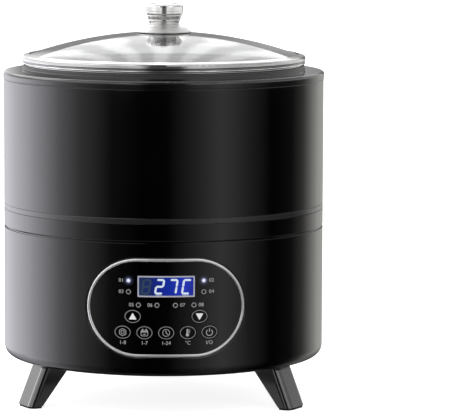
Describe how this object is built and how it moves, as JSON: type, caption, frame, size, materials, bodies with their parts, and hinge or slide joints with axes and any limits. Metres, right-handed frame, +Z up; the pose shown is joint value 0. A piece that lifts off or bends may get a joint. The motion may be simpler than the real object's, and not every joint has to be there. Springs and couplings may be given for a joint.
{
  "type": "yogurt maker",
  "caption": "Round black countertop yogurt maker on splayed legs, with a domed glass lid, lift-out steel pot and a curved front panel with a lit display and push keys.",
  "frame": {"origin": "on the table under the middle of the round body, at the underside of the foot pads", "axes": "+Z up, -Y to the front (control panel), +X to the right seen from the front"},
  "size_m": [0.25, 0.2501, 0.3086],
  "materials": {
    "lid_glass": "clear tempered glass",
    "lid_steel": "polished sheet",
    "knob_steel": "polished",
    "zinc_steel": "zinc plated",
    "soft_rubber": "soft silicone",
    "pot_steel": "satin inside and out",
    "black_ring": "satin black",
    "black_shell": "satin black",
    "grey_band": "satin charcoal",
    "black_base": "satin black",
    "liner_aluminium": "drawn sheet",
    "black_plate": "fine grain",
    "leg_black": "satin black",
    "foot_rubber": "matt",
    "heater_aluminium": "as cast",
    "element_steel": "sheathed element",
    "sensor_brass": "plain",
    "fuse_ceramic": "ceramic body",
    "board_green": "solder mask",
    "transformer_core": "taped winding on a core",
    "relay_blue": "moulded case",
    "capacitor_sleeve": "shrink sleeve",
    "terminal_grey": "moulded",
    "inlet_black": "moulded",
    "pin_brass": "plated",
    "lead_white": "sleeved",
    "lead_brown": "sleeved",
    "lead_black": "sleeved",
    "ribbon_grey": "flat ribbon",
    "lcd_blue": "backlit display",
    "switch_black": "moulded",
    "lamp_white": "lamp package",
    "trim_chrome": "plated",
    "fascia_gloss": "gloss black",
    "frame_white": "white",
    "window_clear": "clear window",
    "lens_white": "frosted light guide",
    "key_gloss": "gloss black"
  },
  "bodies": {
    "housing": {"base_housing": "black_base", "base_plate": "black_plate", "base_screws": "zinc_steel", "control_board": "board_green", "control_board_screws": "zinc_steel", "display_frame": "frame_white", "display_window": "window_clear", "foot_pad_left": "foot_rubber", "foot_pad_rear": "foot_rubber", "foot_pad_right": "foot_rubber", "fuse_clip": "zinc_steel", "heater_element": "element_steel", "heater_leads": "lead_white", "heater_plate": "heater_aluminium", "heater_screws": "zinc_steel", "indicator_leds": "lamp_white", "indicator_lenses": "lens_white", "inlet_body": "inlet_black", "inlet_leads": "lead_brown", "inlet_pins": "pin_brass", "lcd_module": "lcd_blue", "leg_bolts": "zinc_steel", "leg_left": "leg_black", "leg_rear": "leg_black", "leg_right": "leg_black", "liner_screws": "zinc_steel", "panel_fascia": "fascia_gloss", "panel_trim": "trim_chrome", "power_board": "board_green", "power_board_screws": "zinc_steel", "power_capacitors": "capacitor_sleeve", "power_relay": "relay_blue", "power_transformer": "transformer_core", "ribbon_cable": "ribbon_grey", "sensor_bracket": "zinc_steel", "sensor_lead": "lead_black", "tact_switches": "switch_black", "temperature_sensor": "sensor_brass", "terminal_block": "terminal_grey", "thermal_fuse": "fuse_ceramic", "tie_rods": "zinc_steel", "top_ring": "black_ring", "trim_band": "grey_band", "upper_shell": "black_shell", "well_liner": "liner_aluminium"},
    "pot": {"inner_pot": "pot_steel"},
    "lid": {"lid_glass": "lid_glass", "lid_rim": "lid_steel", "knob_grip": "knob_steel", "knob_skirt": "knob_steel", "knob_screw": "zinc_steel", "knob_washer": "soft_rubber"},
    "key_up_body": {"key_up": "key_gloss"},
    "key_down_body": {"key_down": "key_gloss"},
    "key_function_body": {"key_function": "key_gloss"},
    "key_days_body": {"key_days": "key_gloss"},
    "key_hours_body": {"key_hours": "key_gloss"},
    "key_temperature_body": {"key_temperature": "key_gloss"},
    "key_power_body": {"key_power": "key_gloss"}
  },
  "joints": [
    {"name": "pot_lift", "type": "slide", "parent": "housing", "child": "pot", "axis": [0, 0, 1], "range_m": [0, 0.2]},
    {"name": "lid_lift", "type": "slide", "parent": "pot", "child": "lid", "axis": [0, 0, 1], "range_m": [0, 0.2]},
    {"name": "key_up_press", "type": "slide", "parent": "housing", "child": "key_up_body", "axis": [0, 1, 0], "range_m": [0, 0.0006], "stiffness_N_per_m": 600, "springref_m": -0.001},
    {"name": "key_down_press", "type": "slide", "parent": "housing", "child": "key_down_body", "axis": [0, 1, 0], "range_m": [0, 0.0006], "stiffness_N_per_m": 600, "springref_m": -0.001},
    {"name": "key_function_press", "type": "slide", "parent": "housing", "child": "key_function_body", "axis": [0, 1, 0], "range_m": [0, 0.0006], "stiffness_N_per_m": 600, "springref_m": -0.001},
    {"name": "key_days_press", "type": "slide", "parent": "housing", "child": "key_days_body", "axis": [0, 1, 0], "range_m": [0, 0.0006], "stiffness_N_per_m": 600, "springref_m": -0.001},
    {"name": "key_hours_press", "type": "slide", "parent": "housing", "child": "key_hours_body", "axis": [0, 1, 0], "range_m": [0, 0.0006], "stiffness_N_per_m": 600, "springref_m": -0.001},
    {"name": "key_temperature_press", "type": "slide", "parent": "housing", "child": "key_temperature_body", "axis": [0, 1, 0], "range_m": [0, 0.0006], "stiffness_N_per_m": 600, "springref_m": -0.001},
    {"name": "key_power_press", "type": "slide", "parent": "housing", "child": "key_power_body", "axis": [0, 1, 0], "range_m": [0, 0.0006], "stiffness_N_per_m": 600, "springref_m": -0.001}
  ]
}
